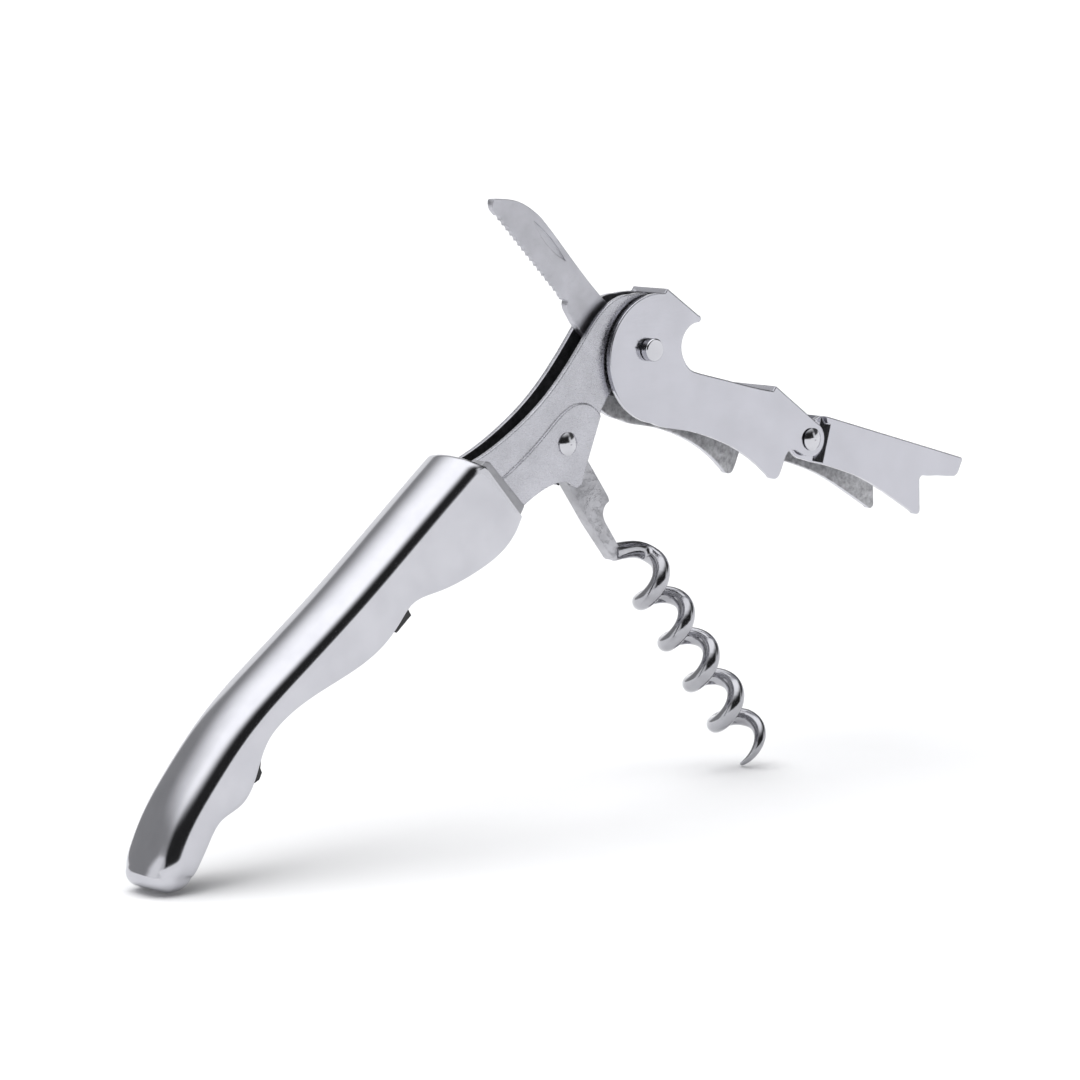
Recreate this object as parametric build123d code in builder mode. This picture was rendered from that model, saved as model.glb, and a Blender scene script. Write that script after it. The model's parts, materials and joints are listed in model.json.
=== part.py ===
from build123d import *
from math import asin, atan2, cos, hypot, radians, sin
import os

# Double-hinged lever corkscrew, standing open on its handle's nose and its worm's tip.
# Millimetres. X runs along the object, from the handle's nose to the lever's end, Z is up,
# and every pivot turns about Y. "Near" is the -Y side and "far" the +Y side.

# ---- pivots: (x, z) ----
worm_pivot = (-0.52, 53.2)
head_pivot = (14.78, 65.5)
lever_angle = -28.0
stage_1_length = 34.8
stage_2_angle = -18.0
knife_angle = 136.0
shank_angle = -57.0

# ---- sheet sizes ----
shell_half = 5.4
shell_sheet = 0.8
crown_rise = 2.35
insert_gap = 0.02
insert_sheet = 0.36
insert_crown_rise = 0.7
liner_inner = 1.35
liner_outer = 2.15
panel_rise = 0.3
lever_sheet = 0.9
lever_head_half = 3.7
lever_splay = 0.0564
stage_2_half = 5.45
stage_2_ear_half = 4.3
knife_half = 0.6
shank_half = 1.0

# ---- rivets ----
head_pin_r = 1.25
small_pin_r = 1.1
rivet_head_r = 1.7
rivet_dome = 0.75
button_rise = 1.15
button_rim = 0.28
running_gap = 0.05
fixed_gap = 0.02

# ---- worm ----
wire_r = 1.3
coil_r = 2.65

os.makedirs("parts", exist_ok=True)


# ---------------------------------------------------------------- helpers
def side_plane(x, z, angle=0.0, y=0.0):
    """Plane of a side view: local x at the angle in XZ, local y square to it, normal towards the near side."""
    a = radians(angle)
    return Plane(origin=(x, y, z), x_dir=(cos(a), 0, sin(a)), z_dir=(0, -1, 0))


def along(x, z, angle, distance):
    """Point at a distance from (x, z) in the direction of the angle."""
    a = radians(angle)
    return (x + distance * cos(a), z + distance * sin(a))


def save(part, label):
    part.label = label
    export_step(part, f"parts/{label}.step")


def disc_stack(x, z, r_out, r_in, y_low, y_high):
    """Ring about a pivot's axis, from y_low to y_high."""
    with BuildPart() as ring:
        with BuildSketch(side_plane(x, z, 0, y_high)):
            Circle(r_out)
            Circle(r_in, mode=Mode.SUBTRACT)
        extrude(amount=y_high - y_low)
    return ring.part


def rivet(x, z, pin_r, head_base, head_r=rivet_head_r, dome=rivet_dome):
    """Pin along Y with a domed head at each end, its heads' flat faces at +-head_base."""
    top = head_base + dome
    rim = head_base + 0.15
    dome_r = (head_r ** 2 + (top - rim) ** 2) / (2 * (top - rim))
    half_way = asin(head_r / dome_r) / 2
    crest = (dome_r * sin(half_way), top - dome_r + dome_r * cos(half_way))
    with BuildPart() as pin:
        with BuildSketch(Plane(origin=(x, 0, z), x_dir=(1, 0, 0), z_dir=(0, 0, 1))):
            with BuildLine():
                Polyline((0, top), (0, -top))
                ThreePointArc((0, -top), (crest[0], -crest[1]), (head_r, -rim))
                Polyline((head_r, -rim), (head_r, -head_base), (pin_r, -head_base), (pin_r, head_base),
                         (head_r, head_base), (head_r, rim))
                ThreePointArc((head_r, rim), crest, (0, top))
            make_face()
        revolve(axis=Axis((x, 0, z), (0, 1, 0)), revolution_arc=360)
    return pin.part


stage_pivot = along(*head_pivot, lever_angle, stage_1_length)

# ---------------------------------------------------------------- handle
# The handle's outlines are points (x from the worm pivot, z).
handle_x = worm_pivot[0]
handle_side = side_plane(handle_x, 0)
shoulder_points = [(-12.0, 57.8), (-18.5, 52.9), (-28.6, 45.2), (-39.8, 36.6), (-52.5, 27.6), (-61.4, 20.9),
                   (-67.3, 14.9), (-72.2, 8.7), (-75.4, 2.0), (-76.6, -3.0)]
front_points = [(-11.3, 44.2), (-14.2, 40.7), (-19.9, 37.6), (-27.7, 35.5), (-32.3, 34.3), (-34.5, 32.1),
                (-37.6, 29.3), (-45.6, 25.6), (-55.0, 21.7), (-58.6, 18.6), (-60.8, 14.0), (-63.3, 10.9),
                (-66.9, 9.2), (-69.2, 6.3), (-72.4, 1.3)]
neck_end_top = (-20.9, 55.8)
nose_bottom = (-74.9, 0.0)
nose_back = (-77.4, 1.3)
nose_angle = 243.0
nose_rounding = 1.5


def arch(half, rise):
    """Handle section swept along its shoulder line: straight flanks under a shallow elliptical crown."""
    with BuildLine(handle_side) as path:
        Spline(*shoulder_points)
    start = path.line @ 0
    with BuildPart() as swept:
        with BuildSketch(Plane(origin=start, x_dir=(0, 1, 0), z_dir=path.line % 0)):
            with BuildLine():
                EllipticalCenterArc((0, 0), half, rise, start_angle=180, arc_size=180)
                Polyline((half, 0), (half, 15), (-half, 15), (-half, 0))
            make_face()
        sweep(path=path.line)
    return swept.part


def handle_outline():
    """Side view of the handle, its back left wide because the crown trims it."""
    with BuildSketch(handle_side) as outline:
        with BuildLine():
            Spline(*front_points)
            ThreePointArc(front_points[-1], nose_bottom, nose_back)
            Polyline(nose_back, (-82, 10), (-60, 40), neck_end_top, front_points[0])
        make_face()
    return outline.sketch


def nose_plan(half):
    """Plan view along the handle's nose: a long strip with a half-elliptical end."""
    tip = Vector(handle_x + nose_bottom[0] - 1.1, 0, 0.35)
    a = radians(nose_angle)
    plane = Plane(origin=tip, x_dir=(cos(a), 0, sin(a)), z_dir=(sin(a), 0, -cos(a)))
    with BuildSketch(plane) as plan:
        with BuildLine():
            EllipticalCenterArc((-nose_rounding, 0), nose_rounding, half, start_angle=-90, arc_size=180)
            Polyline((-nose_rounding, half), (-140, half), (-140, -half), (-nose_rounding, -half))
        make_face()
    return plan.sketch


# The hollow runs out through the front edge and the neck end, and stops short of the nose.
hollow_outline = [(-73.0, 2.6), (-74.9, 1.0), (-76.3, 2.2), (-80, 12), (-60, 46), (-10, 70), (0, 40), (-60, -10)]
with BuildPart() as handle_hollow:
    add(arch(shell_half - shell_sheet, crown_rise - shell_sheet))
    with BuildSketch(handle_side):
        with BuildLine():
            Polyline(*hollow_outline, close=True)
        make_face()
    extrude(amount=20, both=True, mode=Mode.INTERSECT)

with BuildPart() as handle_shell:
    add(arch(shell_half, crown_rise))
    extrude(handle_outline(), amount=20, both=True, mode=Mode.INTERSECT)
    extrude(nose_plan(shell_half), amount=160, both=True, mode=Mode.INTERSECT)
    add(handle_hollow.part, mode=Mode.SUBTRACT)
save(handle_shell.part, "handle_shell")

# Plastic lining of the channel: it stops just under the shell's front edge, apart from two tabs on each side.
insert_half = shell_half - shell_sheet - insert_gap
insert_front = [(-24.6, 38.6), (-29.0, 36.1), (-33.0, 35.0), (-36.0, 32.0), (-45.0, 26.6), (-54.2, 22.8),
                (-58.2, 19.9), (-60.9, 15.2), (-64.0, 12.0), (-67.5, 10.3), (-69.6, 8.2)]
insert_back = [(-74.6, 6.0), (-78.0, 20.0), (-50.0, 44.0), (-30.0, 56.0), (-21.5, 46.0)]
insert_tabs = [[(-31.5, 36.5), (-32.4, 33.6), (-31.9, 32.7), (-34.6, 30.6), (-38.0, 31.5)],
               [(-58.9, 18.0), (-59.35, 15.3), (-59.1, 14.6), (-59.6, 13.7), (-62.5, 12.5), (-62.5, 18.0)]]
with BuildPart() as lining_hollow:
    add(arch(insert_half - insert_sheet, insert_crown_rise))
with BuildPart() as handle_insert:
    add(arch(insert_half, crown_rise - shell_sheet - insert_gap))
    with BuildSketch(handle_side):
        with BuildLine():
            Spline(*insert_front)
            Polyline(insert_front[-1], *insert_back, insert_front[0])
        make_face()
        for tab in insert_tabs:
            with BuildLine():
                Polyline(*tab, close=True)
            make_face()
    extrude(amount=20, both=True, mode=Mode.INTERSECT)
    add(lining_hollow.part, mode=Mode.SUBTRACT)
save(handle_insert.part, "handle_insert")

# ---------------------------------------------------------------- neck liners
# Side plates from inside the shell up to the head. A panel around the worm's pivot is pressed outwards.
head_local = (head_pivot[0] - handle_x, head_pivot[1])
liner_tang = (-24.5, 47.6)
liner_back = [(-18.5, 52.2), (-14.7, 53.6), (-9.3, 56.35), (-4.4, 59.6), (-0.2, 63.3), (3.5, 67.3), (7.4, 71.4),
              (10.4, 73.2), (13.5, 73.6)]
liner_spur = [(9.3, 60.4), (6.9, 57.4), (3.4, 49.4), (2.5, 47.0), (1.6, 46.6), (0.2, 47.6)]
liner_front = [(0.2, 47.6), (-2.6, 47.7), (-5.4, 46.9), (-8.6, 45.3), (-12.0, 43.4), (-17.0, 42.6), (-20.5, 44.0)]
panel_line = [(-20.5, 45.5), (-11.2, 50.2), (-6.9, 52.9), (-3.6, 55.4), (-1.0, 57.4), (1.6, 58.6), (4.2, 58.5),
              (6.0, 57.3), (7.2, 54.5)]
panel_step = 0.45


def liner_outline():
    with BuildSketch(handle_side) as outline:
        with BuildLine():
            Spline(*liner_back)
            ThreePointArc(liner_back[-1], (22.6, 65.6), (15.3, 58.2))
            ThreePointArc((15.3, 58.2), (11.9, 58.7), liner_spur[0])
            Polyline(*liner_spur)
            Spline(*liner_front)
            Polyline(liner_front[-1], liner_tang, liner_back[0])
        make_face()
    return outline.sketch


def panel_outline(shift):
    """The pressed panel, from its step line (moved down and back by shift) to past the liner's front edge."""
    line = [(x - 0.5 * shift, z - shift) for x, z in panel_line]
    with BuildSketch(handle_side) as outline:
        with BuildLine():
            Spline(*line)
            Polyline(line[-1], (8, 40), (-26, 36), line[0])
        make_face()
    return outline.sketch


def liner(pin_clearance):
    """Near-side liner; the far one is its mirror image."""
    sheet = liner_outer - liner_inner
    with BuildPart() as panel:
        extrude(liner_outline(), amount=liner_outer + panel_rise)
        extrude(panel_outline(0), amount=20, mode=Mode.INTERSECT)
    with BuildPart() as plate:
        extrude(liner_outline(), amount=liner_outer)
        add(panel.part)
        extrude(liner_outline(), amount=liner_inner, mode=Mode.SUBTRACT)
        extrude(panel_outline(panel_step), amount=liner_outer + panel_rise - sheet, mode=Mode.SUBTRACT)
        for place, pin_r in ((head_local, head_pin_r), ((0, worm_pivot[1]), small_pin_r)):
            with BuildSketch(handle_side):
                with Locations(place):
                    Circle(pin_r + pin_clearance)
            extrude(amount=20, mode=Mode.SUBTRACT)
    return plate.part


near_liner = liner(fixed_gap)
save(near_liner, "liner_near")
with BuildPart() as far_liner:
    add(near_liner)
    mirror(about=Plane.XZ, mode=Mode.REPLACE)
save(far_liner.part, "liner_far")

# Bolsters pack the space between each liner and the shell's side, and show as a strip past the shell's end.
bolster_outline = [(-10.3, 45.6), (-11.1, 44.4), (-12.3, 44.5), (-16.0, 41.9), (-22.6, 49.3), (-18.6, 52.1),
                   (-17.4, 52.8), (-16.6, 52.6)]
with BuildPart() as near_bolster:
    with BuildSketch(side_plane(handle_x, 0, 0, -liner_outer - fixed_gap)):
        with BuildLine():
            Polyline(*bolster_outline, close=True)
        make_face()
    extrude(amount=shell_half - shell_sheet - liner_outer - 2 * fixed_gap)
    extrude(panel_outline(-0.1), amount=liner_outer + panel_rise + fixed_gap, mode=Mode.SUBTRACT)
save(near_bolster.part, "bolster_near")
with BuildPart() as far_bolster:
    add(near_bolster.part)
    mirror(about=Plane.XZ, mode=Mode.REPLACE)
save(far_bolster.part, "bolster_far")

# Packing plate that keeps the liners' tangs apart at the back, inside the shell.
with BuildPart() as liner_spacer:
    with BuildSketch(handle_side):
        with BuildLine():
            Polyline((-24.2, 47.2), (-19.2, 51.2), (-18.0, 49.6), (-22.4, 46.4), close=True)
        make_face()
    extrude(amount=liner_inner, both=True)
save(liner_spacer.part, "liner_spacer")

# ---------------------------------------------------------------- rivets and washers
near_washer_top = liner_outer + fixed_gap + 0.45
head_seat = lever_head_half + 0.13
with BuildPart() as head_rivet:
    with BuildSketch(side_plane(*head_pivot)):
        Circle(head_pin_r)
    extrude(amount=head_seat, both=True)
    with BuildSketch(side_plane(*head_pivot, 0, -head_seat)):
        Circle(rivet_head_r)
    extrude(amount=button_rise)
    with BuildSketch(side_plane(*head_pivot, 0, head_seat)):
        Circle(rivet_head_r)
    extrude(amount=-button_rise)
    ends = edges().filter_by(GeomType.CIRCLE).group_by(Axis.Y)
    fillet(ends[0] + ends[-1], button_rim)
save(head_rivet.part, "head_rivet")
save(rivet(*worm_pivot, small_pin_r, liner_outer + panel_rise + fixed_gap), "worm_rivet")
for side, name in ((-1, "near"), (1, "far")):
    low, high = sorted((side * (liner_outer + fixed_gap), side * near_washer_top))
    save(disc_stack(*head_pivot, 2.6, head_pin_r + fixed_gap, low, high), f"lever_washer_{name}")
    low, high = sorted((side * (knife_half + running_gap), side * (liner_inner - fixed_gap)))
    save(disc_stack(*head_pivot, 2.8, head_pin_r + fixed_gap, low, high), f"knife_washer_{name}")
    low, high = sorted((side * (shank_half + running_gap), side * (liner_inner + panel_rise - fixed_gap)))
    save(disc_stack(*worm_pivot, 2.2, small_pin_r + fixed_gap, low, high), f"worm_washer_{name}")

# ---------------------------------------------------------------- lever, first stage
# Its outline is drawn from the head pivot along the lever. The plates are flat and lean apart towards the
# stage pivot, joined by two folded webs: the cap lifter's and the one before the second stage.
splay = atan2(lever_splay, 1)
lever_dir = radians(lever_angle)
lever_near_face = Plane(origin=(head_pivot[0], -lever_head_half, head_pivot[1]),
                        x_dir=(cos(lever_dir) * cos(splay), -sin(splay), sin(lever_dir) * cos(splay)),
                        z_dir=(-sin(splay) * cos(lever_dir), -cos(splay), -sin(splay) * sin(lever_dir)))
beak_web = [(-0.6, 9.35), (6.5, 8.15)]
stage_web = [(24.9, 4.5), (31.0, 3.33)]
ear_r = 2.6
notch = [(6.3, 6.9), (5.1, 4.1), (6.9, 1.0)]
with BuildPart() as lever_plate:
    with BuildSketch(lever_near_face):
        with BuildLine():
            ThreePointArc((-0.75, 8.6), (-7.0, -0.1), (5.2, -9.5))
            Spline((5.2, -9.5), (9.0, -8.8), (12.6, -7.8), (17.0, -7.1), (22.4, -6.9), (26.6, -7.4), (29.4, -8.1),
                   tangents=[(1, 0.0), (1, -0.25)])
            ThreePointArc((29.4, -8.1), (30.6, -8.1), (31.1, -7.3))
            Spline((31.1, -7.3), (31.1, -4.6), (31.5, -3.2), (32.4, -2.7), (stage_1_length, -ear_r),
                   tangents=[(0.1, 1), (1, 0)])
            ThreePointArc((stage_1_length, -ear_r), (stage_1_length + ear_r, 0), (stage_1_length + 0.5, 2.55))
            Polyline((stage_1_length + 0.5, 2.55), stage_web[0], (24.75, 3.65))
            Spline((24.75, 3.65), (15.3, 1.55), (10.0, 0.45), (8.4, 0.35), notch[2], tangents=[(-1, -0.3), (-0.8, 0.6)])
            ThreePointArc(*reversed(notch))
            Polyline(notch[0], (7.0, 7.35))
            ThreePointArc((7.0, 7.35), (7.15, 7.75), (6.5, 8.15))
            Polyline((6.5, 8.15), (-0.6, 9.35), (-0.75, 8.6))
        make_face()
    extrude(amount=-lever_sheet)
    mirror(about=Plane.XZ)


def lever_web(ends):
    """Web folded between the lever's plates, under the line between two points of its outline."""
    (x0, z0), (x1, z1) = ends
    length = hypot(x1 - x0, z1 - z0)
    drop = (lever_sheet * (z1 - z0) / length, -lever_sheet * (x1 - x0) / length)
    corners = [(x0, z0), (x1, z1), (x1 + drop[0], z1 + drop[1]), (x0 + drop[0], z0 + drop[1])]
    with BuildPart() as web:
        with BuildSketch(lever_near_face) as band:
            with BuildLine():
                Polyline(*corners, close=True)
            make_face()
        loft(sections=[band.sketch.faces()[0], band.sketch.mirror(Plane.XZ).faces()[0]], ruled=True)
    return web.part


with BuildPart() as lever_stage_1:
    add(lever_plate.part)
    add(lever_web(beak_web))
    add(lever_web(stage_web))
    for pivot, hole_r in ((head_pivot, head_pin_r + running_gap), (stage_pivot, small_pin_r + fixed_gap)):
        with BuildSketch(side_plane(*pivot)):
            Circle(hole_r)
        extrude(amount=10, both=True, mode=Mode.SUBTRACT)
save(lever_stage_1.part, "lever_stage_1")

# ---------------------------------------------------------------- stage rivet, sleeve and washers
stage_1_half = lever_head_half + lever_splay * stage_1_length
stage_head_base = stage_1_half + lever_splay * rivet_head_r + fixed_gap
stage_ear_inner = stage_2_ear_half - lever_sheet
save(rivet(*stage_pivot, small_pin_r, stage_head_base), "stage_rivet")
save(disc_stack(*stage_pivot, 1.75, small_pin_r + fixed_gap, -stage_ear_inner + 0.1, stage_ear_inner - 0.1),
     "stage_sleeve")
for side, name in ((-1, "near"), (1, "far")):
    low, high = sorted((side * (stage_2_ear_half + fixed_gap), side * (stage_2_ear_half + 0.26)))
    save(disc_stack(*stage_pivot, 1.9, small_pin_r + fixed_gap, low, high), f"stage_washer_{name}")

# ---------------------------------------------------------------- lever, second stage
# Plan view: ears joggled inwards by one sheet, then two parallel plates. Side view: rim step and squared end.
stage_2_side = side_plane(*stage_pivot, stage_2_angle)
stage_2_dir = radians(stage_2_angle)
stage_2_plan = Plane(origin=(stage_pivot[0], 0, stage_pivot[1]), x_dir=(cos(stage_2_dir), 0, sin(stage_2_dir)),
                     z_dir=(-sin(stage_2_dir), 0, cos(stage_2_dir)))
joggle = (2.75, 3.9)
stage_2_ear_r = 3.1
stage_2_top = 4.0
stage_2_length = 33.3
with BuildPart() as stage_2_plates:
    with BuildSketch(stage_2_plan):
        with BuildLine():
            Polyline((-6, stage_2_ear_half), (joggle[0] - 0.35, stage_2_ear_half),
                     (joggle[1] - 0.35, stage_2_half), (36, stage_2_half), (36, stage_2_half - lever_sheet),
                     (joggle[1] + 0.05, stage_2_half - lever_sheet), (joggle[0] + 0.05, stage_ear_inner),
                     (-6, stage_ear_inner), close=True)
        make_face()
        mirror(about=Plane(stage_2_plan.origin, x_dir=stage_2_plan.x_dir, z_dir=(0, 1, 0)))
    extrude(amount=15, both=True)
    with BuildSketch(stage_2_side):
        with BuildLine():
            Polyline((0, stage_2_ear_r), (1.2, stage_2_ear_r), (2.4, stage_2_top), (32.9, stage_2_top))
            ThreePointArc((32.9, stage_2_top), (33.25, 3.85), (33.3, 3.4))
            Polyline((33.3, 3.4), (33.0, 1.9))
            ThreePointArc((33.0, 1.9), (32.6, 1.15), (31.7, 0.8))
            Spline((31.7, 0.8), (28.4, 0.2), (25.7, -0.35), tangents=[(-1, -0.28), (-1, -0.1)])
            ThreePointArc((25.7, -0.35), (25.05, -0.6), (24.85, -1.25))
            Polyline((24.85, -1.25), (26.2, -5.5))
            ThreePointArc((26.2, -5.5), (26.0, -6.3), (25.1, -6.25))
            Spline((25.1, -6.25), (19.2, -4.75), (12.5, -3.45), (5.0, -3.1), (0, -stage_2_ear_r),
                   tangents=[(-1, 0.25), (-1, 0)])
            ThreePointArc((0, -stage_2_ear_r), (-stage_2_ear_r, 0), (0, stage_2_ear_r))
        make_face()
        Circle(small_pin_r + running_gap, mode=Mode.SUBTRACT)
    extrude(amount=20, both=True, mode=Mode.INTERSECT)

with BuildPart() as lever_stage_2:
    add(stage_2_plates.part)
    with BuildSketch(stage_2_side):
        with BuildLine():
            Polyline((2.4, stage_2_top), (32.9, stage_2_top), (33.1, stage_2_top - lever_sheet),
                     (2.9, stage_2_top - lever_sheet), close=True)
        make_face()
    extrude(amount=stage_2_half, both=True)
save(lever_stage_2.part, "lever_stage_2")

# ---------------------------------------------------------------- knife
# Drawn from the head pivot along the blade; local y points to the cutting edge.
knife_side = side_plane(*head_pivot, knife_angle, knife_half)
edge_start = (16.4, 3.75)
edge_end = (33.9, 2.55)
teeth = 16
tooth_r = 0.6
with BuildPart() as knife:
    with BuildSketch(knife_side):
        with BuildLine():
            ThreePointArc((3.2, -2.9), (-4.3, 0), (3.2, 2.9))
            Spline((3.2, 2.9), (7.5, 4.7), (11.2, 4.75), (13.2, 4.3), (14.9, 3.15), tangents=[(1, 0.9), (0.3, -1)])
            Polyline((14.9, 3.15), edge_start, edge_end)
            ThreePointArc(edge_end, (35.0, 2.15), (35.3, 1.2))
            Spline((35.3, 1.2), (33.4, -0.4), (31.0, -1.7), (28.9, -2.25), (26.9, -2.5))
            Spline((26.9, -2.5), (18.0, -1.8), (12.0, -1.4), (8.0, -1.5), (5.0, -2.1), (3.2, -2.9))
        make_face()
        Circle(head_pin_r + running_gap, mode=Mode.SUBTRACT)
        for tooth in range(teeth):
            share = (tooth + 0.5) / teeth
            tooth_x = edge_start[0] + 0.4 + share * (edge_end[0] - edge_start[0] - 0.9)
            tooth_y = edge_start[1] + share * (edge_end[1] - edge_start[1])
            with Locations((tooth_x, tooth_y + 0.3)):
                Circle(tooth_r, mode=Mode.SUBTRACT)
    extrude(amount=2 * knife_half)
    # ground bevel on the far face, from mid-blade to the cutting edge
    with BuildSketch(Plane(origin=knife_side.from_local_coords((15.6, 0, knife_half)),
                           x_dir=knife_side.y_dir, z_dir=knife_side.x_dir)):
        with BuildLine():
            Polyline((1.4, -knife_half), (4.4, 0.45), (5, 0.45), (5, -1.5), (1.4, -1.5), close=True)
        make_face()
    extrude(amount=25, mode=Mode.SUBTRACT)
    # nail nick near the spine
    with BuildSketch(side_plane(*head_pivot, knife_angle, -knife_half + 0.25)):
        with BuildLine():
            ThreePointArc((27.6, -1.3), (23.4, -0.35), (19.0, -0.9))
            ThreePointArc((19.0, -0.9), (23.4, -1.55), (27.6, -1.3))
        make_face()
    extrude(amount=1, mode=Mode.SUBTRACT)
save(knife.part, "knife")

# ---------------------------------------------------------------- worm
# Axis of the coil, as points (x from the worm pivot, z); the wire is a right-handed helix.
coil_start = Vector(handle_x + 16.05, 0, 32.65)
coil_end = Vector(handle_x + 37.75, 0, 1.82)
coil_turns = 4.48
tip_turns = 0.55
tip_r = 0.3
coil_phase = 10.5
coil_axis = (coil_end - coil_start).normalized()
coil_length = (coil_end - coil_start).length
coil_pitch = coil_length / coil_turns
coil_side = Vector(-coil_axis.Z, 0, coil_axis.X)
near = Vector(0, -1, 0)


def coil_plane(turns):
    """Plane square to the coil's axis after so many turns, its x axis pointing at the wire."""
    a = radians(coil_phase + 360 * turns)
    return Plane(origin=coil_start + coil_axis * (coil_pitch * turns), x_dir=coil_side * cos(a) + near * sin(a),
                 z_dir=coil_axis)


full_turns = coil_turns - tip_turns
coil = coil_plane(0) * Helix(coil_pitch, coil_pitch * full_turns, coil_r)
tip_coil = coil_plane(full_turns) * Helix(coil_pitch, coil_pitch * tip_turns, coil_r)
lead_start = Vector(handle_x + 10.4, 0, 35.9)
with BuildLine() as lead:
    Spline(lead_start, coil @ 0, tangents=[(1, 0, -0.02), coil % 0], tangent_scalars=(1.1, 1.3))
with BuildPart() as worm:
    with BuildSketch(Plane(coil @ 0, z_dir=coil % 0)):
        Circle(wire_r)
    sweep(path=coil, is_frenet=True)
    with BuildSketch(Plane(lead_start, z_dir=lead.line % 0)):
        Circle(wire_r)
    sweep(path=lead.line)
with BuildPart() as worm_tip:
    with BuildSketch(Plane(tip_coil @ 0, z_dir=tip_coil % 0)):
        Circle(wire_r)
    with BuildSketch(Plane(tip_coil @ 1, z_dir=tip_coil % 1)):
        Circle(tip_r)
    sweep(path=tip_coil, multisection=True, is_frenet=True)
with BuildPart() as whole_worm:
    add(worm.part)
    add(worm_tip.part)
save(whole_worm.part, "worm")

# Stamped shank: wide at the pivot, notched on its lever side, narrow where the wire is pressed into it.
with BuildPart() as worm_shank:
    with BuildSketch(side_plane(*worm_pivot, shank_angle)):
        with BuildLine():
            ThreePointArc((0, 2.5), (-2.5, 0), (0, -2.5))
            Polyline((0, -2.5), (13.4, -2.4), (19.3, -2.0))
            Spline((19.3, -2.0), (21.0, -1.5), (21.3, -0.3), (19.4, 0.0), tangents=[(1, 0), (-1, -0.1)])
            Spline((19.4, 0.0), (15.6, 0.0), (13.8, 0.3), (13.0, 1.2), (12.9, 2.4), tangents=[(-1, 0), (0.1, 1)])
            Polyline((12.9, 2.4), (12.2, 2.6), (0, 2.5))
        make_face()
        Circle(small_pin_r + running_gap, mode=Mode.SUBTRACT)
    extrude(amount=shank_half, both=True)
    add(whole_worm.part, mode=Mode.SUBTRACT)
save(worm_shank.part, "worm_shank")
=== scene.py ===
import bpy
import json
import numpy as np
from math import cos, pi, radians, sin
from mathutils import Matrix, Vector


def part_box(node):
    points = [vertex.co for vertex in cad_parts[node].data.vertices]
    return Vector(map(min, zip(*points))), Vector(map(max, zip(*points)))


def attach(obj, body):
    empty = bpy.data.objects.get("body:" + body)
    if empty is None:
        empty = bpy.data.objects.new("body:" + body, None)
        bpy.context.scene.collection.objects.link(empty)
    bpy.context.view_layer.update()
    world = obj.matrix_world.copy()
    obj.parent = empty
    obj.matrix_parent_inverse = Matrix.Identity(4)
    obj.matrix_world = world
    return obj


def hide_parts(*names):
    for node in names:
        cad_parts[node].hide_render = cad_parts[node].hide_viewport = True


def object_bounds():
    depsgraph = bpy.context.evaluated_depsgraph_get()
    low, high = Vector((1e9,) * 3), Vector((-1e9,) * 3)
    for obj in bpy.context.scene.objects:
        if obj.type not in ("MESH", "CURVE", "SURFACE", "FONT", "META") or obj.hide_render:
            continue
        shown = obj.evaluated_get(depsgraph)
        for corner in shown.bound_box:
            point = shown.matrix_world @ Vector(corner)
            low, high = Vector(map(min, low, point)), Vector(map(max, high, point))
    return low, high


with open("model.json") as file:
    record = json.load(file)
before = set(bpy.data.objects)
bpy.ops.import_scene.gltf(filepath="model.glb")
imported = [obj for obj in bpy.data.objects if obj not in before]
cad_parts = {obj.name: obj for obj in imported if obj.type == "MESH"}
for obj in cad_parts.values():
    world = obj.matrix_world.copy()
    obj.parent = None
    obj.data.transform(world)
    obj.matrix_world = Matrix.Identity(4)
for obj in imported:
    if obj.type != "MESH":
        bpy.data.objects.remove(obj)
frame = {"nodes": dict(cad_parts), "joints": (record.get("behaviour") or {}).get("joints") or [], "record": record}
cad_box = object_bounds()
nodes = frame["nodes"]
MM = 0.001

# ---------------------------------------------------------------- camera
# A long lens on the near side, towards the handle's nose, looking slightly down and tilted a little.
azimuth = radians(-41)
pitch = radians(8.77)
roll = radians(1.67)
camera_place = Vector((-0.42054, -0.47892, 0.13732))
back = Vector((sin(azimuth) * cos(pitch), -cos(azimuth) * cos(pitch), sin(pitch)))
level = Vector((cos(azimuth), sin(azimuth), 0))
up = back.cross(level)
right = level * cos(roll) - up * sin(roll)
up = back.cross(right)
camera_data = bpy.data.cameras.new("camera")
camera_data.sensor_width = 36
camera_data.lens = 148.3
camera_data.clip_start = 0.05
camera_data.clip_end = 20
camera = bpy.data.objects.new("camera", camera_data)
bpy.context.scene.collection.objects.link(camera)
camera.matrix_world = Matrix.Translation(camera_place) @ Matrix((right, up, back)).transposed().to_4x4()
bpy.context.scene.camera = camera


# ---------------------------------------------------------------- floor
def mesh_object(name, verts, faces):
    mesh = bpy.data.meshes.new(name)
    mesh.from_pydata(verts, [], faces)
    mesh.update()
    for polygon in mesh.polygons:
        polygon.use_smooth = True
    obj = bpy.data.objects.new(name, mesh)
    bpy.context.scene.collection.objects.link(obj)
    return obj


def ring_floor(name, radii, height, sides=96):
    """A flat round floor: a disc with rings round it."""
    turns = [2 * pi * i / sides for i in range(sides)]
    verts = [(radius * cos(turn), radius * sin(turn), height) for radius in radii for turn in turns]
    faces = [tuple(range(sides))]
    for ring in range(0, sides * (len(radii) - 1), sides):
        faces += [(ring + i, ring + sides + i, ring + sides + (i + 1) % sides, ring + (i + 1) % sides)
                  for i in range(sides)]
    return mesh_object(name, verts, faces)


floor = ring_floor("studio_floor", [1.0, 3.0, 6.0], cad_box[0].z - 0.1 * MM)


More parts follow.
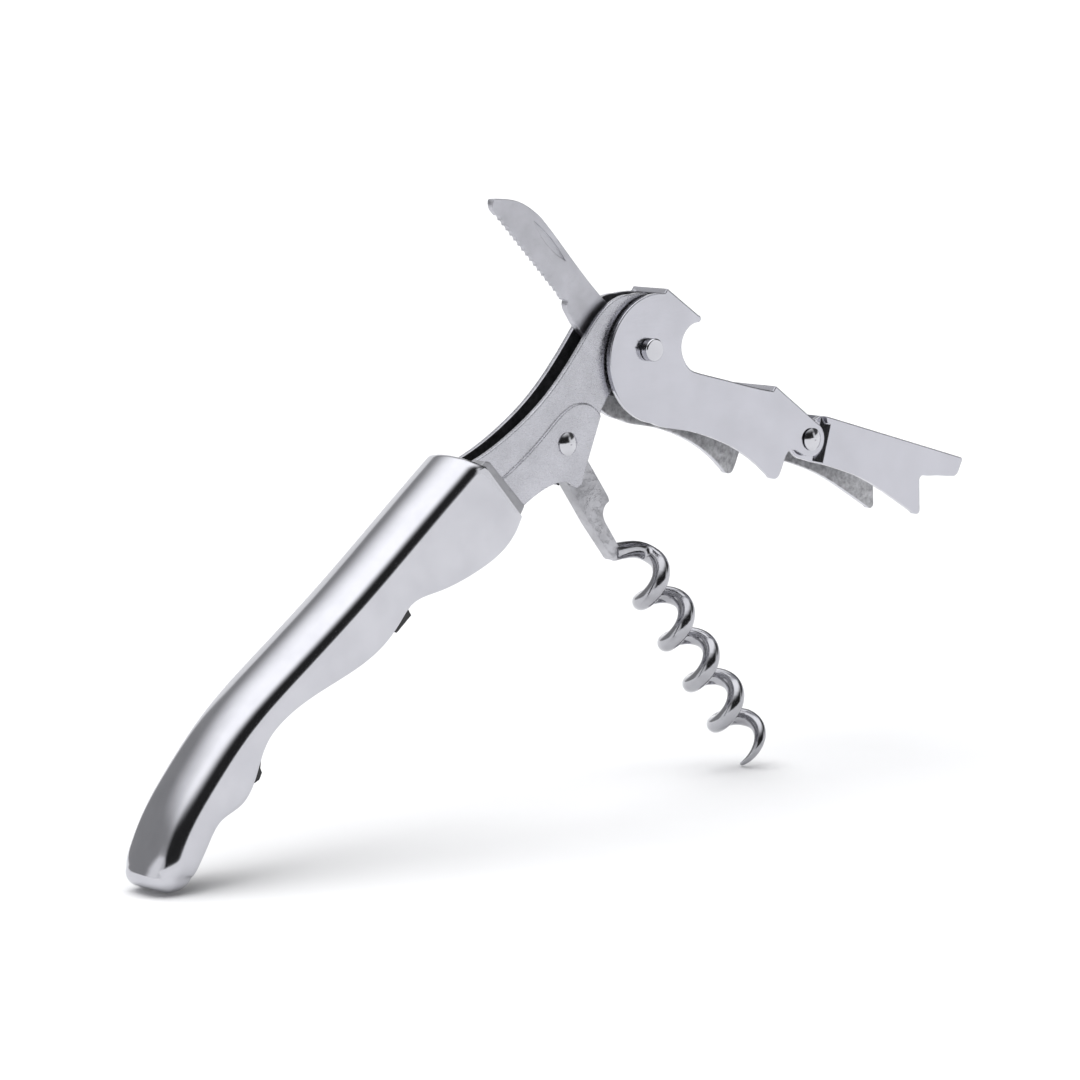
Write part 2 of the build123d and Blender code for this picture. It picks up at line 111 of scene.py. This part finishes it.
# ---------------------------------------------------------------- materials
def set_stops(ramp, stops):
    """Gives a colour ramp these stops: (place, shade or colour)."""
    while len(ramp.elements) > 1:
        ramp.elements.remove(ramp.elements[-1])
    for i, (place, shade) in enumerate(stops):
        element = ramp.elements.new(place) if i else ramp.elements[0]
        element.position = place
        element.color = (*shade, 1) if isinstance(shade, tuple) else (shade, shade, shade, 1)


def add_math(tree, kind, a, b):
    """Adds a Math node; a and b are numbers or other nodes' outputs."""
    node = tree.nodes.new("ShaderNodeMath")
    node.operation = kind
    for value, socket in zip((a, b), node.inputs):
        if isinstance(value, (int, float)):
            socket.default_value = value
        else:
            tree.links.new(value, socket)
    return node.outputs["Value"]


class Nodes:
    """Short names for building a material's node tree."""

    def __init__(self, name):
        self.material = bpy.data.materials.new(name)
        self.material.use_nodes = True
        self.tree = self.material.node_tree
        self.shader = self.tree.nodes["Principled BSDF"]
        coordinates = self.tree.nodes.new("ShaderNodeTexCoord")
        self.place = coordinates.outputs["Object"]
        self.facing = coordinates.outputs["Normal"]

    def link(self, out, into):
        self.tree.links.new(out, into)

    def inside(self):
        """1 on the faces that look at the middle plane, 0 on the outer ones."""
        place = self.tree.nodes.new("ShaderNodeSeparateXYZ")
        facing = self.tree.nodes.new("ShaderNodeSeparateXYZ")
        self.link(self.place, place.inputs["Vector"])
        self.link(self.facing, facing.inputs["Vector"])
        depth = self.math("MULTIPLY", place.outputs["Y"], -1 / MM)
        towards = self.math("MULTIPLY", depth, facing.outputs["Y"])
        return self.to_range(towards, 0.0, 1.0, 0.3, 1.5)

    def mapping(self, scale, rotation=(0, 0, 0)):
        node = self.tree.nodes.new("ShaderNodeMapping")
        node.inputs["Scale"].default_value = scale
        node.inputs["Rotation"].default_value = rotation
        self.link(self.place, node.inputs["Vector"])
        return node.outputs["Vector"]

    def noise(self, scale, detail=4.0, rough=0.55, vector=None):
        node = self.tree.nodes.new("ShaderNodeTexNoise")
        node.inputs["Scale"].default_value = scale
        node.inputs["Detail"].default_value = detail
        node.inputs["Roughness"].default_value = rough
        self.link(vector or self.place, node.inputs["Vector"])
        return node.outputs["Fac"]

    def ramp(self, value, stops):
        node = self.tree.nodes.new("ShaderNodeValToRGB")
        set_stops(node.color_ramp, stops)
        self.link(value, node.inputs["Fac"])
        return node.outputs["Color"]

    def to_range(self, value, low_out, high_out, low_in=0.3, high_in=0.7):
        node = self.tree.nodes.new("ShaderNodeMapRange")
        node.inputs["From Min"].default_value = low_in
        node.inputs["From Max"].default_value = high_in
        node.inputs["To Min"].default_value = low_out
        node.inputs["To Max"].default_value = high_out
        self.link(value, node.inputs["Value"])
        return node.outputs["Result"]

    def math(self, kind, a, b):
        return add_math(self.tree, kind, a, b)

    def mix(self, share, a, b):
        node = self.tree.nodes.new("ShaderNodeMix")
        node.data_type = "RGBA"
        self.link(share, node.inputs["Factor"])
        for value, socket in ((a, node.inputs[6]), (b, node.inputs[7])):
            if isinstance(value, tuple):
                socket.default_value = (*value, 1)
            else:
                self.link(value, socket)
        return node.outputs[2]

    def worn_edges(self, radius):
        """Shades the edges as if they were rounded."""
        node = self.tree.nodes.new("ShaderNodeBevel")
        node.samples = 8
        node.inputs["Radius"].default_value = radius
        self.link(node.outputs["Normal"], self.shader.inputs["Normal"])

    def bump(self, height, strength, distance):
        """Adds a fine relief over any that is there already."""
        node = self.tree.nodes.new("ShaderNodeBump")
        node.inputs["Strength"].default_value = strength
        node.inputs["Distance"].default_value = distance
        self.link(height, node.inputs["Height"])
        previous = self.shader.inputs["Normal"].links
        if previous:
            self.link(previous[0].from_socket, node.inputs["Normal"])
        self.link(node.outputs["Normal"], self.shader.inputs["Normal"])


def steel(name, dark, light, rough, grain, grain_angle=0.0, pits=0.0, smears=0.0, shaded_dull_inside=None, edge=0.0):
    """Stainless steel: a cloudy tint from dark to light, an uneven polish over the given range of roughness
    and a fine grain along one direction. Where asked it has pits, smears, rougher inner faces darkened by
    painted shade between two shades, and cut edges worn round over the given radius."""
    n = Nodes(name)
    n.shader.inputs["Metallic"].default_value = 1.0
    tint = n.ramp(n.noise(160, 3), [(0.3, dark), (0.7, light)])
    scratches = n.noise(1.0, 5, 0.65, n.mapping((420, 420, 9000), (0, grain_angle, 0)))
    speckle = n.noise(2600, 4, 0.7)
    polish = n.math("ADD", n.math("MULTIPLY", scratches, 0.6), n.math("MULTIPLY", speckle, 0.4))
    roughness = n.to_range(polish, *rough)
    # inner faces take a painted shade (a dark cloudy tint for the shade between the sheets) and a rougher polish
    if shaded_dull_inside:
        painted_shade_tint = n.ramp(n.noise(900, 6, 0.75), [(0.38, shaded_dull_inside[0]), (0.62, shaded_dull_inside[1])])
        inside = n.inside()
        tint = n.mix(inside, tint, painted_shade_tint)
        roughness = n.math("ADD", roughness, n.math("MULTIPLY", inside, 0.3))
    n.link(tint, n.shader.inputs["Base Color"])
    n.link(roughness, n.shader.inputs["Roughness"])
    if edge:
        n.worn_edges(edge)
    n.bump(scratches, grain, 0.02 * MM)
    if pits:
        n.bump(n.ramp(n.noise(1500, 5, 0.7), [(0.36, 0.0), (0.5, 1.0)]), pits, 0.05 * MM)
    if smears:
        n.bump(n.noise(110, 2), smears, 0.4 * MM)
    return n.material


def plastic(name, dark, light, rough):
    """Moulded plastic with a fine, even grain."""
    n = Nodes(name)
    n.link(n.ramp(n.noise(300, 4), [(0.35, dark), (0.65, light)]), n.shader.inputs["Base Color"])
    grain = n.noise(3500, 3)
    n.link(n.to_range(grain, *rough), n.shader.inputs["Roughness"])
    n.bump(grain, 0.3, 0.03 * MM)
    return n.material


# painted shade for the inner faces: grey inside the shell and the lever, near black on the neck steel's inner
# faces
painted_shade_grey = ((0.27, 0.27, 0.28), (0.54, 0.54, 0.56))
painted_shade_black = ((0.02, 0.02, 0.02), (0.10, 0.10, 0.11))
finishes = {
    "polished_steel": steel("handle_polish", (0.51, 0.51, 0.545), (0.57, 0.57, 0.605), (0.08, 0.15),
                            grain=0.05, smears=0.08, shaded_dull_inside=painted_shade_grey),
    "lever_steel": steel("lever_polish", (0.50, 0.50, 0.54), (0.545, 0.545, 0.59), (0.12, 0.22), grain=0.08,
                         grain_angle=radians(28), shaded_dull_inside=painted_shade_grey, edge=0.35 * MM),
    "neck_steel": steel("neck_polish", (0.42, 0.42, 0.45), (0.52, 0.52, 0.56), (0.20, 0.34), grain=0.10,
                        grain_angle=radians(-50), pits=0.22, shaded_dull_inside=painted_shade_black, edge=0.35 * MM),
    "blade_steel": steel("blade_satin", (0.43, 0.43, 0.46), (0.53, 0.53, 0.57), (0.28, 0.42), grain=0.35,
                         grain_angle=radians(44), pits=0.3, edge=0.2 * MM),
    "shank_steel": steel("shank_satin", (0.34, 0.34, 0.36), (0.56, 0.56, 0.59), (0.26, 0.44), grain=0.3,
                         grain_angle=radians(57), pits=0.8, edge=0.3 * MM),
    "worm_wire": steel("worm_wire", (0.34, 0.34, 0.36), (0.52, 0.52, 0.55), (0.10, 0.20), grain=0.08),
    "rivet": steel("rivet_polish", (0.54, 0.54, 0.57), (0.62, 0.62, 0.65), (0.08, 0.16), grain=0.05),
    # the washer's near-black tint is painted shade of the gap it sits in at the lever's head
    "washer_steel": steel("washer_steel", (0.14, 0.14, 0.15), (0.26, 0.26, 0.28), (0.3, 0.5), grain=0.2,
                          pits=0.3),
    "bolster": steel("bolster_satin", (0.26, 0.26, 0.28), (0.40, 0.40, 0.42), (0.3, 0.5), grain=0.2,
                     pits=0.5),
    "black_plastic": plastic("black_plastic", (0.010, 0.010, 0.011), (0.028, 0.028, 0.030), (0.35, 0.55)),
}

slot_of = {entry["node"]: entry["material_slot"] for entry in frame["record"]["subparts"]}
for name, obj in nodes.items():
    obj.data.materials.clear()
    obj.data.materials.append(finishes[slot_of[name]])


# ---------------------------------------------------------------- the handle's shell
# One drawn sheet: a crown over two flanks, closed round the nose, its neck end turned in. The outlines are
# points (x, z) in millimetres, x from the worm's pivot.
shell_x = next(joint["pos_m"][0] for joint in frame["joints"] if joint["name"] == "worm_hinge")
shoulder_points = [(-18.5, 52.9), (-28.6, 45.2), (-39.8, 36.6), (-52.5, 27.6), (-61.4, 20.9), (-67.3, 14.9),
                   (-72.2, 8.7), (-75.3, 2.6)]
front_points = [(-11.3, 44.2), (-14.2, 40.7), (-19.9, 37.6), (-27.7, 35.5), (-32.3, 34.3), (-34.5, 32.1),
                (-37.6, 29.3), (-45.6, 25.6), (-55.0, 21.7), (-58.6, 18.6), (-60.8, 14.0), (-63.3, 10.9),
                (-66.9, 9.2), (-69.2, 6.3), (-72.0, 2.1)]
shell_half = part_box("handle_shell")[1].y / MM
sheet_thickness = 0.8
station_count = 170
foot_drop = 0.95  # the flanks' top line lies this far inside the shoulder line
flank_steps = 7
flank_draw = 0.022  # the flanks lean in towards their edges by this share of the half width
neck_lean = 0.02  # how far each flank's section leans along the handle, for each millimetre down
nose_lean = -0.15
bend_radius = 3.0
bend_end = radians(75)
neck_turn = 2.0  # the length over which the neck end's crown turns down
neck_setback = 0.9
nose_length = 2.6
nose_narrowing = 0.2
nose_round = 2.1
nose_steps = 8


def spline(points, count):
    """Points evenly spaced along a natural cubic spline through the given ones."""
    p = np.array(points, float)
    t = np.concatenate([[0], np.cumsum(np.linalg.norm(np.diff(p, axis=0), axis=1))])
    h = np.diff(t)
    n = len(t)
    system = np.eye(n)
    wanted = np.zeros_like(p)
    for i in range(1, n - 1):
        system[i, i - 1:i + 2] = h[i - 1], 2 * (h[i - 1] + h[i]), h[i]
        wanted[i] = 6 * ((p[i + 1] - p[i]) / h[i] - (p[i] - p[i - 1]) / h[i - 1])
    bend = np.linalg.solve(system, wanted)
    line = []
    for u in np.linspace(0, t[-1], count):
        i = min(int(np.searchsorted(t, u, side="right")) - 1, n - 2)
        a, b, d = t[i + 1] - u, u - t[i], h[i]
        line.append(bend[i] * a ** 3 / (6 * d) + bend[i + 1] * b ** 3 / (6 * d)
                    + (p[i] / d - bend[i] * d / 6) * a + (p[i + 1] / d - bend[i + 1] * d / 6) * b)
    return np.array(line)


def shell_stations():
    """(foot of the crown, front edge point, way ahead, way out) along the handle, neck end first."""
    feet = spline(shoulder_points, station_count)
    along = np.gradient(feet, axis=0)
    along /= np.linalg.norm(along, axis=1)[:, None]
    feet -= foot_drop * np.stack([along[:, 1], -along[:, 0]], axis=1)
    front = spline(front_points, 12 * station_count)
    last = station_count - 1
    stations = []
    reached = 0
    for i, foot in enumerate(feet):
        ahead = feet[min(i + 1, last)] - feet[max(i - 1, 0)]
        ahead /= np.linalg.norm(ahead)
        out = np.array([ahead[1], -ahead[0]])
        share = i / last
        down = -out + ahead * ((1 - share) * neck_lean + share * nose_lean)
        offsets = (front - foot) @ np.array([down[1], -down[0]])
        crossings = [k for k in range(reached, len(front) - 1) if offsets[k] * offsets[k + 1] <= 0]
        reached = crossings[0] if crossings else reached
        edge = {0: front[0], last: front[-1]}.get(i, front[reached])
        stations.append((foot, edge, ahead, out))
    return stations


def crown_profile(steps=12, top_steps=14):
    """(y, rise) over the crown from the near flank to the far one: a bend, a slightly domed top, a bend."""
    bend = [(bend_radius * (1 - cos(turn)) - shell_half, bend_radius * sin(turn))
            for turn in (bend_end * k / steps for k in range(steps + 1))]
    lean = pi / 2 - bend_end
    top_radius = -bend[-1][0] / sin(lean)
    centre = bend[-1][1] - top_radius * cos(lean)
    top = [(top_radius * sin(turn), centre + top_radius * cos(turn))
           for turn in (lean * (2 * k / top_steps - 1) for k in range(1, top_steps))]
    return bend + top + [(-y, rise) for y, rise in reversed(bend)]


def shell_mesh():
    """The sheet's outer face: a ring of points for each station, open along the front edges."""
    verts, rows = [], []
    crown = crown_profile()
    top = max(rise for y, rise in crown)
    stations = shell_stations()
    neck_foot = stations[0][0]
    foot, edge, ahead, out = stations[-1]

    def add_ring(foot, edge, ahead, out, narrower=0.0, flatter=1.0, setback=0.0):
        points = []
        for share in (k / flank_steps for k in range(flank_steps)):
            points.append((edge + (foot - edge) * share, -shell_half * (1 - flank_draw * (1 - share) ** 2)))
        for y, rise in crown:
            points.append((foot + out * rise * flatter + ahead * setback * (rise / top) ** 0.7, y))
        points += [(point, -y) for point, y in reversed(points[:flank_steps])]
        width = (shell_half - narrower) / shell_half
        rows.append(range(len(verts), len(verts) + len(points)))
        verts.extend((point[0] * MM + shell_x, y * width * MM, point[1] * MM) for point, y in points)

    # the neck end turns in over the crown
    for k, flatter in enumerate((0.44, 0.52, 0.60)):
        add_ring(*stations[0], narrower=0.46 - 0.06 * k, flatter=flatter, setback=1.02 - 0.03 * k)
    # the handle, turned down where it starts and narrowing towards the nose
    for station in stations:
        turned = max(0.0, 1 - float(np.linalg.norm(station[0] - neck_foot)) / neck_turn)
        closing = max(0.0, 1 - float(np.linalg.norm(station[0] - foot)) / nose_length)
        narrower = 0.25 * turned ** 2 + shell_half * (1 - (1 - nose_narrowing * closing ** 2) ** 0.5)
        flatter = (1 - 0.55 * turned ** 2) ** 0.5 * (1 - 0.06 * closing ** 2)
        add_ring(*station, narrower, flatter, neck_setback * turned)
    # the nose's rounded end
    end_narrower = shell_half * (1 - (1 - nose_narrowing) ** 0.5)
    across = (edge - foot) / np.linalg.norm(edge - foot)
    for turn in (pi / 2 * k / nose_steps for k in range(1, nose_steps + 1)):
        inset = nose_round * (1 - cos(turn))
        reach = ahead * nose_round * sin(turn)
        add_ring(foot + reach + across * inset * 0.15, edge + reach - across * inset * 0.7, ahead, out,
                 end_narrower + inset, 0.94 - inset * 0.8 / top)
    faces = [(a[j], a[j + 1], b[j + 1], b[j]) for a, b in zip(rows, rows[1:]) for j in range(len(a) - 1)]
    # the flat end of the nose, filled across from flank to flank
    last = rows[-1]
    count = len(last)
    faces += [(last[j], last[j + 1], last[count - 2 - j], last[count - 1 - j]) for j in range(count // 2 - 1)]
    return verts, faces


verts, faces = shell_mesh()
shell = mesh_object("shell_polished", verts, faces)
shell.data.materials.append(finishes["polished_steel"])
sheet = shell.modifiers.new("sheet", "SOLIDIFY")
sheet.thickness = sheet_thickness * MM
sheet.offset = -1
rim = shell.modifiers.new("rim", "BEVEL")
rim.width = 0.2 * MM
rim.segments = 3
rim.limit_method = "ANGLE"
rim.angle_limit = radians(60)
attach(shell, "handle")
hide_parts("handle_shell")


# ---------------------------------------------------------------- edges of the sheet-metal pieces
def soften(obj, width):
    """Rounds the cut edges of a CAD piece without moving it."""
    weld = obj.modifiers.new("weld", "WELD")
    weld.merge_threshold = 2e-6
    bevel = obj.modifiers.new("edges", "BEVEL")
    bevel.width = width
    bevel.segments = 3
    bevel.limit_method = "ANGLE"
    bevel.angle_limit = radians(32)
    bevel.harden_normals = True
    bevel.use_clamp_overlap = True
    normals = obj.modifiers.new("normals", "WEIGHTED_NORMAL")
    normals.keep_sharp = True


edge_rounds = {"lever_stage_1": 0.40, "lever_stage_2": 0.40, "liner_near": 0.34, "liner_far": 0.34,
               "knife": 0.12, "worm_shank": 0.22, "bolster_near": 0.30, "bolster_far": 0.30}
for name, width in edge_rounds.items():
    soften(nodes[name], width * MM)


# ---------------------------------------------------------------- light
def sun_light(name, towards, strength, spread):
    """An even, soft light over the whole floor, shining along the given direction; metal does not mirror it."""
    data = bpy.data.lights.new(name, "SUN")
    data.energy = strength
    data.angle = radians(spread)
    lamp = bpy.data.objects.new(name, data)
    bpy.context.scene.collection.objects.link(lamp)
    lamp.rotation_euler = Vector(towards).to_track_quat("-Z", "Y").to_euler()
    lamp.visible_glossy = False


sun_light("overhead_softbox", (0.10, -0.25, -1.0), 0.9, 60)

# The studio that the metal mirrors: its brightness by direction, x right, y away from the near side, z up.
world = bpy.data.worlds.new("studio")
world.use_nodes = True
bpy.context.scene.world = world
sky = world.node_tree


def step(value, start, end):
    """0 below start, 1 above end (or the reverse if end is lower), with a soft rise."""
    node = sky.nodes.new("ShaderNodeMapRange")
    node.interpolation_type = "SMOOTHSTEP"
    node.inputs["From Min"].default_value = start
    node.inputs["From Max"].default_value = end
    sky.links.new(value, node.inputs["Value"])
    return node.outputs["Result"]


def product(first, *others):
    for other in others:
        first = add_math(sky, "MULTIPLY", first, other)
    return first


def darkened(value, mask, share):
    """The value less the given share of it where the mask is 1."""
    return product(value, add_math(sky, "SUBTRACT", 1.0, product(mask, share)))


direction = sky.nodes.new("ShaderNodeTexCoord")
split = sky.nodes.new("ShaderNodeSeparateXYZ")
sky.links.new(direction.outputs["Generated"], split.inputs["Vector"])
way_x, way_y, way_z = split.outputs
# a dark side in front, left of the right-hand window, from the floor to well above the lens
front_dark = product(step(way_y, -0.05, -0.45), step(way_z, 0.02, 0.08), step(way_z, 0.86, 0.50),
                     step(way_x, 0.62, 0.38))
# a dark wall on the right, above the window
right_dark = product(step(way_x, 0.55, 0.75), step(way_z, 0.18, 0.26))
# low, bright windows at both ends
right_window = darkened(product(step(way_x, 0.08, 0.18), step(way_z, 0.48, 0.42)), front_dark, 1.0)
right_window = darkened(right_window, right_dark, 1.0)
left_window = product(step(way_x, -0.80, -0.90), step(way_z, 0.50, 0.40))
windows = add_math(sky, "MAXIMUM", right_window, left_window)
# a softbox overhead in a grey room
room = add_math(sky, "ADD", product(step(way_z, 0.52, 0.92), 1.42), 0.35)
room = darkened(darkened(room, front_dark, 0.93), right_dark, 0.8)
mirrored = add_math(sky, "ADD", room, product(windows, 0.72))
# the camera itself only sees pale paper past the floor's edge
ray = sky.nodes.new("ShaderNodeLightPath")
seen = sky.nodes.new("ShaderNodeMix")
seen.data_type = "FLOAT"
sky.links.new(ray.outputs["Is Camera Ray"], seen.inputs["Factor"])
sky.links.new(mirrored, seen.inputs[2])
seen.inputs[3].default_value = 0.95
background = sky.nodes["Background"]
background.inputs["Color"].default_value = (0.985, 0.99, 1.0, 1)
sky.links.new(seen.outputs[0], background.inputs["Strength"])

paint = Nodes("floor_paper")
shade = paint.ramp(paint.noise(40, 2), [(0.3, (0.93, 0.93, 0.935)), (0.7, (0.95, 0.95, 0.955))])
paint.link(shade, paint.shader.inputs["Base Color"])
paint.shader.inputs["Roughness"].default_value = 0.9
floor.data.materials.append(paint.material)
bpy.context.scene.view_settings.view_transform = "Standard"
